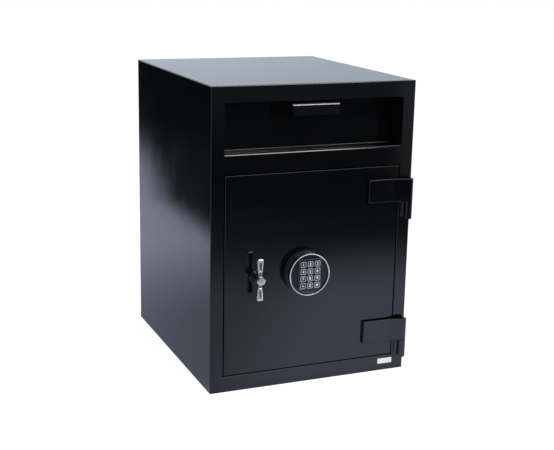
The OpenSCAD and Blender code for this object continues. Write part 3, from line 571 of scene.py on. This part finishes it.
def lamp(name, place, target, size, radiance):
    """A rectangular softbox that faces a target; its power is radiance x pi x area."""
    data = bpy.data.lights.new(name, "AREA")
    data.shape = "RECTANGLE"
    data.size, data.size_y = size
    data.energy = radiance * math.pi * size[0] * size[1]
    made = bpy.data.objects.new(name, data)
    bpy.context.scene.collection.objects.link(made)
    aim = (Vector(target) - Vector(place)).to_track_quat("-Z", "Y")
    made.matrix_world = Matrix.Translation(place) @ aim.to_matrix().to_4x4()
    made.visible_camera = False


def pale_floor(settings):
    """White floor: plain white to the camera with a faint contact shadow; to gloss, a pool of
    light round the safe that fades out in front of it and ends at a line on its left."""
    half = settings.floor_size / 2
    corners = np.array([[[-half, -half, 0], [-half, half, 0]],
                        [[half, -half, 0], [half, half, 0]]], float)
    material, tree, output = new_material("white studio floor")
    floor = grid_object("studio_floor", corners, False, False, material)
    place = add(tree, "ShaderNodeTexCoord").outputs["Object"]
    rays = add(tree, "ShaderNodeLightPath")
    split = add(tree, "ShaderNodeSeparateXYZ", None, {"Vector": place})
    x, y = split.outputs["X"], split.outputs["Y"]
    # Beside and behind the safe: dim near its front left corner, and gone past a line on the
    # left that runs straight back and then bends away. Inside is how far a place lies on the
    # bright side of that line.
    bend = math_of(tree, "ADD", math_of(tree, "MULTIPLY", y, 0.213), 0.336)
    bound = math_of(tree, "MAXIMUM", bend, 0.64)
    inside = math_of(tree, "ADD", x, bound)
    # The dimming near the front left corner is the safe's painted shadow on the pool of light
    corner = measure(tree, place, "DISTANCE", (-0.46, -0.02, 0))
    away = measure(tree, place, "DISTANCE", (0, 0, 0))
    beside = math_of(tree, "MULTIPLY", ramp(tree, inside, -0.05, 0.08, 0.02, 0.96),
                     ramp(tree, corner, 0.18, 0.98, 0.40, 1.0))
    beside = math_of(tree, "MULTIPLY", beside, ramp(tree, away, 2.0, 3.4, 1.0, 0.15))
    # In front: fading with the distance, dimmer to the left, a faint glow far off
    rightward = measure(tree, place, "DOT_PRODUCT", (0.84, 0.54, 0))
    ahead = math_of(tree, "MULTIPLY", ramp(tree, y, -1.3, -0.7, 0.0, 0.97),
                    ramp(tree, rightward, -0.40, -0.17, 0.50, 1.0))
    tail = math_of(tree, "MULTIPLY", ramp(tree, y, -2.1, -1.0, 0.0, 0.16),
                   ramp(tree, x, 0.2, 0.8, 1.0, 0.4))
    ahead = math_of(tree, "ADD", ahead, tail)
    ahead = math_of(tree, "ADD", ahead, ramp(tree, y, -4.5, -2.2, 0.11, 0.0))
    pool = add(tree, "ShaderNodeMix", {"data_type": "FLOAT"},
               {"Factor": ramp(tree, y, -0.30, -0.18, 0.0, 1.0), "A": ahead, "B": beside})
    mirrored = add(tree, "ShaderNodeEmission", None,
                   {"Color": linear("dce5ff"), "Strength": pool.outputs["Result"]})
    plain = add(tree, "ShaderNodeEmission", None,
                {"Color": linear("ffffff"), "Strength": 0.88})
    matt = add(tree, "ShaderNodeBsdfDiffuse", None, {"Color": (0.35, 0.35, 0.35, 1)})
    seen = add(tree, "ShaderNodeAddShader", None, {0: plain.outputs[0], 1: matt.outputs[0]})
    choice = add(tree, "ShaderNodeMixShader", None,
                 {0: rays.outputs["Is Glossy Ray"], 1: seen.outputs[0],
                  2: mirrored.outputs[0]})
    tree.links.new(choice.outputs[0], output.inputs["Surface"])


def surroundings(scene):
    """White to the camera; to gloss, a white wall behind the safe and a dim room before it."""
    world = bpy.data.worlds.new("Studio")
    scene.world = world
    world.use_nodes = True
    tree = world.node_tree
    tree.nodes.clear()
    output = add(tree, "ShaderNodeOutputWorld")
    rays = add(tree, "ShaderNodeLightPath")
    heading = add(tree, "ShaderNodeTexCoord").outputs["Generated"]
    split = add(tree, "ShaderNodeSeparateXYZ", None, {"Vector": heading})
    wall = math_of(tree, "MULTIPLY", ramp(tree, split.outputs["Y"], -0.1, 0.55, 0.04, 0.93),
                   ramp(tree, split.outputs["X"], 0.27, 0.50, 1.0, 0.84))
    unseen = add(tree, "ShaderNodeMix", {"data_type": "FLOAT"},
                 {"Factor": rays.outputs["Is Glossy Ray"], "A": 0.45, "B": wall})
    straight = math_of(tree, "MAXIMUM", rays.outputs["Is Camera Ray"],
                       rays.outputs["Is Transmission Ray"])
    level = add(tree, "ShaderNodeMix", {"data_type": "FLOAT"},
                {"Factor": straight, "A": unseen.outputs["Result"], "B": 1.0})
    tint = add(tree, "ShaderNodeMix", {"data_type": "RGBA"},
               {"Factor": straight, "A": linear("e6f0ff"), "B": linear("ffffff")})
    light = add(tree, "ShaderNodeBackground", None,
                {"Color": tint.outputs["Result"], "Strength": level.outputs["Result"]})
    tree.links.new(light.outputs["Background"], output.inputs["Surface"])


# Operators

class SAFE_OT_enamel(Operator):
    """Coat the welded body, the hopper and the door in gloss enamel"""
    bl_idname = "safe.enamel"
    bl_label = "Enamel"

    def execute(self, context):
        settings = context.scene.safe_enamel
        dress(ENAMELLED, gloss_enamel(settings))
        low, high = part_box("pull_lip")
        # Painted highlight: a band of bare bright metal on the pull's bend, where the front lamp's
        # highlight falls
        bend = enamel_with_painted_highlight(settings, "enamel with a painted highlight at the pull's bend",
                           (high.z - 3.2 * MM, high.z - 2.0 * MM),
                           (high.z + 2 * MM, high.z + 3 * MM),
                           (low.y + 3 * MM, low.y + 6 * MM), 1.0)
        dress(["pull_lip"], bend)
        # The rolled hem at the hopper's foot turns in front of the recess floor
        low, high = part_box("hopper_panel")
        # Painted highlight: a fainter band of bare metal along the hem, where the front lamp's
        # highlight falls
        hem = enamel_with_painted_highlight(settings, "enamel with a painted highlight along the hem",
                          (low.z + 6.2 * MM, low.z + 7.2 * MM),
                          (low.z + 9.6 * MM, low.z + 10.8 * MM),
                          (low.y + 3 * MM, low.y + 4.5 * MM), 0.6)
        dress(["hopper_panel"], hem)
        return {"FINISHED"}


class SAFE_OT_steelwork(Operator):
    """Finish the bare steel of the boltwork, the pins and the lock case"""
    bl_idname = "safe.steelwork"
    bl_label = "Boltwork"

    def execute(self, context):
        # Cold-rolled mild steel, oiled: a soft grey shine with rolling lines
        dress(STEEL, bright_metal("cold-rolled steel", "b4b3ae", 0.28, 0.45, 0.7 * MM,
                                  (1, 1, 0.15), 0.004 * MM))
        # Zinc die-casting: duller, without a direction
        dress(["lock_case"], bright_metal("cast zinc", "a3a5a6", 0.42, 0.6, 1.2 * MM,
                                          (1, 1, 1), 0.02 * MM))
        # Turned steel bolts with hard chrome: turning lines run round each bolt
        dress(["locking_bolts"], bright_metal("hard-chromed bolts", "d2d4d6", 0.14, 0.24,
                                              0.6 * MM, (1, 0.05, 0.05), 0.003 * MM))
        return {"FINISHED"}


class SAFE_OT_handle(Operator):
    """Finish the T-handle in satin chrome and its collar in black plastic"""
    bl_idname = "safe.handle"
    bl_label = "Handle"

    def execute(self, context):
        dress(["t_handle"], cast_chrome("t_handle"))
        # Moulded acetal, smooth and a little waxy
        dress(["handle_collar"], moulded("moulded acetal", "0f1012", 0.3, 0.6 * MM,
                                         0.003 * MM, 1.48))
        return {"FINISHED"}


class SAFE_OT_keypad(Operator):
    """Finish the keypad's case, ring and face"""
    bl_idname = "safe.keypad"
    bl_label = "Keypad"

    def execute(self, context):
        # Moulded ABS: dark grey and satin, with a fine spark grain
        dress(["keypad_base", "keypad_housing"],
              moulded("moulded ABS", "2e3034", 0.27, 0.5 * MM, 0.004 * MM))
        dress(["keypad_face"], moulded("polished ABS", "0d0f15", 0.22, 0.8 * MM, 0.003 * MM))
        dress(["keypad_ring"], banded_chrome("keypad_ring"))
        # Glass-epoxy laminate under green solder resist
        dress(["key_board"], moulded("glass-epoxy board", "1c5a34", 0.4, 1 * MM, 0.01 * MM))
        return {"FINISHED"}


class SAFE_OT_keys(Operator):
    """Finish the keys and add their rims and digits"""
    bl_idname = "safe.keys"
    bl_label = "Keys"

    def execute(self, context):
        settings = context.scene.safe_keypad
        # Moulded keys, a dark blue-grey that reads as black
        cap = moulded("moulded keys", "12141c", 0.33, 0.4 * MM, 0.004 * MM)
        ink = printed("white key print", settings.ink)
        # The grey line round each key is partly print and partly a painted highlight of the key's
        # bevelled edge
        line = printed("grey key rim, print and painted highlight", settings.rim, 0.3)
        # A key's hidden flange is this much wider than its face; the face has round corners
        flange = 1 * MM
        corner = 2 * MM
        for node, text in KEYS.items():
            dress([node], cap)
            low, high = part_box(node)
            half = (high.x - low.x) / 2 - flange
            centre = ((low.x + high.x) / 2, (low.z + high.z) / 2)
            rim = key_rim(node + "_rim", centre, low.y, half, corner, settings.rim_width,
                          PRINT, line)
            digit = glyph(node + "_digit", text, centre, low.y, settings.digit, PRINT, ink)
            for piece in (rim, digit):
                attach(piece, node)
        low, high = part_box("keypad_face")
        middle = ((low.x + high.x) / 2, (low.z + high.z) / 2)
        # Painted highlight: the grey line round the keys' panel stands in for light caught on the
        # panel's bevelled edge
        edge = printed("painted highlight on the panel's edge", linear("69717f"), 0.3)
        half_w, top, radius = 23.9 * MM, 31.7 * MM, 37.2 * MM
        border = panel_line("panel_line", middle, low.y, half_w, top, radius, 0.6 * MM,
                            PRINT, edge)
        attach(border, "door")
        return {"FINISHED"}


class SAFE_OT_buffers(Operator):
    """Finish the hopper's rubber buffers"""
    bl_idname = "safe.buffers"
    bl_label = "Buffers"

    def execute(self, context):
        # Moulded rubber: dark, matt, slightly bloomed
        dress(["rest_buffers", "open_buffers"],
              moulded("moulded rubber", "1d1d1c", 0.8, 0.6 * MM, 0.02 * MM, 1.52))
        return {"FINISHED"}


class SAFE_OT_label(Operator):
    """Stick a bare white label on the lower right of the frame"""
    bl_idname = "safe.label"
    bl_label = "Label"

    def execute(self, context):
        settings = context.scene.safe_label
        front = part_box("front_frame")[0].y
        outline = round_square(settings.width / 2, settings.height / 2, 1 * MM, 6)
        scales = np.array([1.0, 1.0, 0.0])
        lifts = np.array([0.0, -PRINT, -PRINT])
        # The outline drawn in to the middle: wall first, then the face
        points = np.stack([
            settings.centre_x + scales[:, None] * outline[None, :, 0],
            front + lifts[:, None] + 0 * outline[None, :, 0],
            settings.centre_z + scales[:, None] * outline[None, :, 1]], -1)
        white = printed("white vinyl label", linear("f2f3f4"), 0.5)
        label = grid_object("bare_label", points, False, True, white)
        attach(label, "body")
        return {"FINISHED"}


class SAFE_OT_studio(Operator):
    """Set the camera, the lamps, the pale floor and the surroundings that the gloss mirrors"""
    bl_idname = "safe.studio"
    bl_label = "Studio"

    def execute(self, context):
        settings = context.scene.safe_studio
        scene = context.scene
        scene.view_settings.view_transform = "Standard"
        place_camera(scene, settings)
        pale_floor(settings)
        surroundings(scene)
        for row in LAMPS:
            lamp(*row)
        return {"FINISHED"}


class SAFE_PT_panel(Panel):
    """The safe's finishes, one button each, with their sizes and colours below"""
    bl_label = "Depository Safe"
    bl_idname = "SAFE_PT_panel"
    bl_space_type = "VIEW_3D"
    bl_region_type = "UI"
    bl_category = "Safe"

    def draw(self, context):
        for operator in OPERATORS:
            self.layout.operator(operator.bl_idname)
        for name, group in GROUPS.items():
            box = self.layout.box()
            for setting in group.__annotations__:
                box.prop(getattr(context.scene, name), setting)


GROUPS = {"safe_enamel": EnamelSettings, "safe_keypad": KeypadSettings,
          "safe_label": LabelSettings, "safe_studio": StudioSettings}
OPERATORS = (SAFE_OT_studio, SAFE_OT_enamel, SAFE_OT_steelwork, SAFE_OT_buffers,
             SAFE_OT_handle, SAFE_OT_keypad, SAFE_OT_keys, SAFE_OT_label)


def register():
    for group in (*GROUPS.values(), *OPERATORS, SAFE_PT_panel):
        bpy.utils.register_class(group)
    for name, group in GROUPS.items():
        setattr(bpy.types.Scene, name, PointerProperty(type=group))


def unregister():
    for name in GROUPS:
        delattr(bpy.types.Scene, name)
    for group in reversed((*GROUPS.values(), *OPERATORS, SAFE_PT_panel)):
        bpy.utils.unregister_class(group)


def main():
    register()
    bpy.ops.safe.studio()
    bpy.ops.safe.enamel()
    bpy.ops.safe.steelwork()
    bpy.ops.safe.buffers()
    bpy.ops.safe.handle()
    bpy.ops.safe.keypad()
    bpy.ops.safe.keys()
    bpy.ops.safe.label()


if __name__ == "__main__":
    main()
